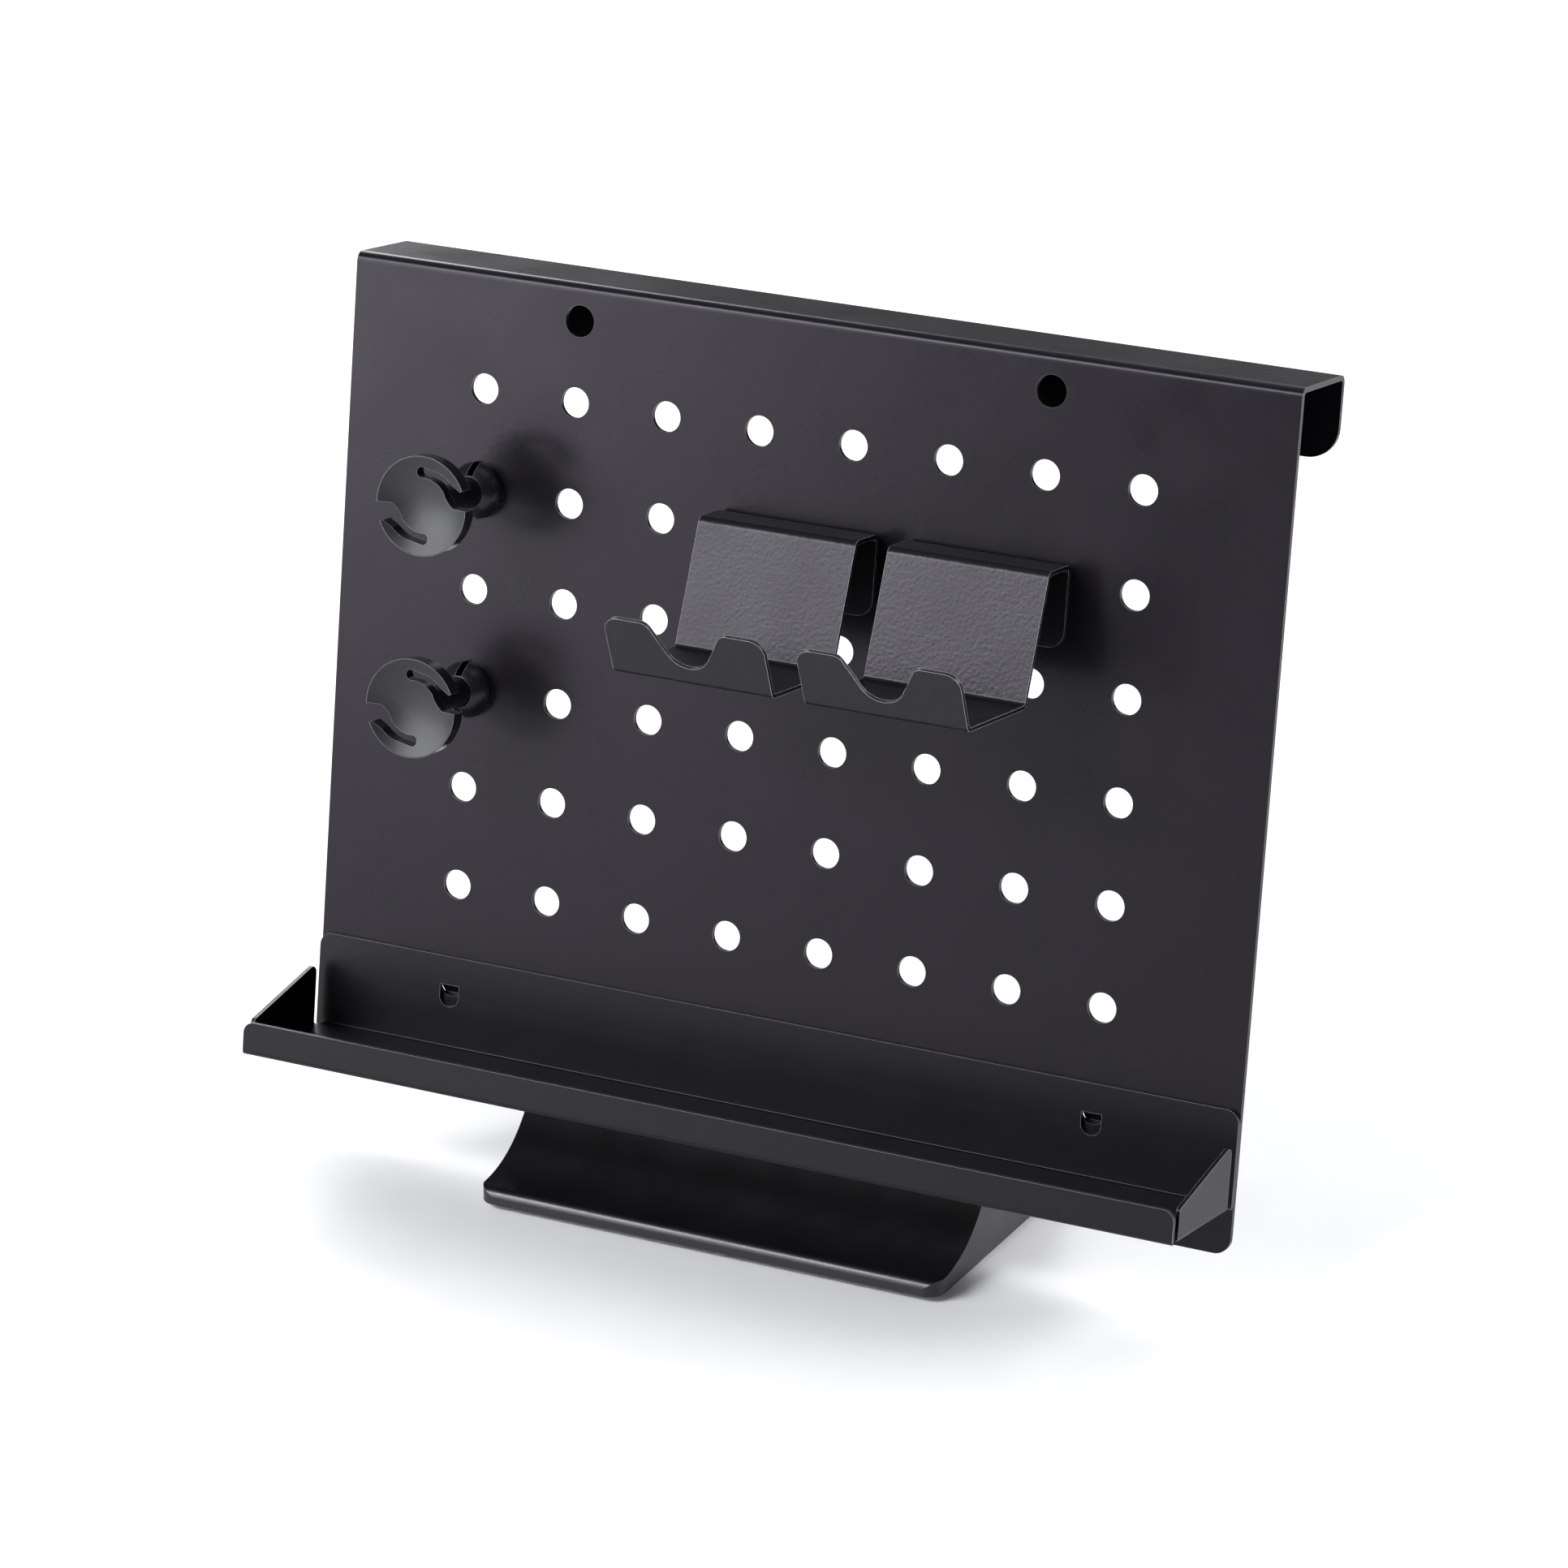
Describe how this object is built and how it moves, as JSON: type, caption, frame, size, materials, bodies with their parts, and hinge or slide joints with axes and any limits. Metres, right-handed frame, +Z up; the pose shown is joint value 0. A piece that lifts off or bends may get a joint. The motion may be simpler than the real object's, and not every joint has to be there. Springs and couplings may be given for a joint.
{
  "type": "desktop pegboard tool wall",
  "caption": "Small black steel pegboard that leans in a weighted foot, with a shelf tray, notched device hangers and round cable clips hung in its holes.",
  "frame": {"origin": "on the desk, in the middle of the footprint of the whole part", "axes": "+X to the right along the board's width, +Y towards the back, +Z up"},
  "size_m": [0.3, 0.1212, 0.264],
  "materials": {
    "board_coat": "fine-textured satin black powder coat on steel",
    "tray_coat": "smooth satin black powder coat on steel",
    "hanger_coat": "orange-peel satin black powder coat on steel",
    "bracket_coat": "matt black paint on steel",
    "foot_plastic": "finely grained satin black moulding",
    "clip_plastic": "smooth satin black moulding",
    "pad_rubber": "dull black rubber",
    "zinc_steel": "bright zinc plate"
  },
  "bodies": {
    "stand": {"pegboard_panel": "board_coat", "panel_studs": "zinc_steel", "stud_nuts": "zinc_steel", "upright_bracket": "bracket_coat", "base_shell": "foot_plastic", "base_plate": "bracket_coat", "bracket_screws": "zinc_steel", "shell_screws": "zinc_steel", "foot_pad_front_left": "pad_rubber", "foot_pad_front_right": "pad_rubber", "foot_pad_rear_left": "pad_rubber", "foot_pad_rear_right": "pad_rubber"},
    "tray": {"tray": "tray_coat"},
    "hanger_left": {"hanger_left": "hanger_coat"},
    "hanger_right": {"hanger_right": "hanger_coat"},
    "clip_upper": {"cable_clip_upper": "clip_plastic"},
    "clip_lower": {"cable_clip_lower": "clip_plastic"}
  },
  "joints": [
    {"name": "tray_lift", "type": "slide", "parent": "stand", "child": "tray", "axis": [0, 0.1461, 0.9893], "range_m": [0, 0.0034]},
    {"name": "hanger_left_lift", "type": "slide", "parent": "stand", "child": "hanger_left", "axis": [0, 0.1461, 0.9893], "range_m": [0, 0.0034]},
    {"name": "hanger_right_lift", "type": "slide", "parent": "stand", "child": "hanger_right", "axis": [0, 0.1461, 0.9893], "range_m": [0, 0.0034]},
    {"name": "clip_upper_turn", "type": "hinge", "parent": "stand", "child": "clip_upper", "pos_m": [-0.105, 0.01302, 0.19992], "axis": [0, -0.9893, 0.1461], "continuous": true},
    {"name": "clip_lower_turn", "type": "hinge", "parent": "stand", "child": "clip_lower", "pos_m": [-0.105, 0.00425, 0.14056], "axis": [0, -0.9893, 0.1461], "continuous": true}
  ]
}
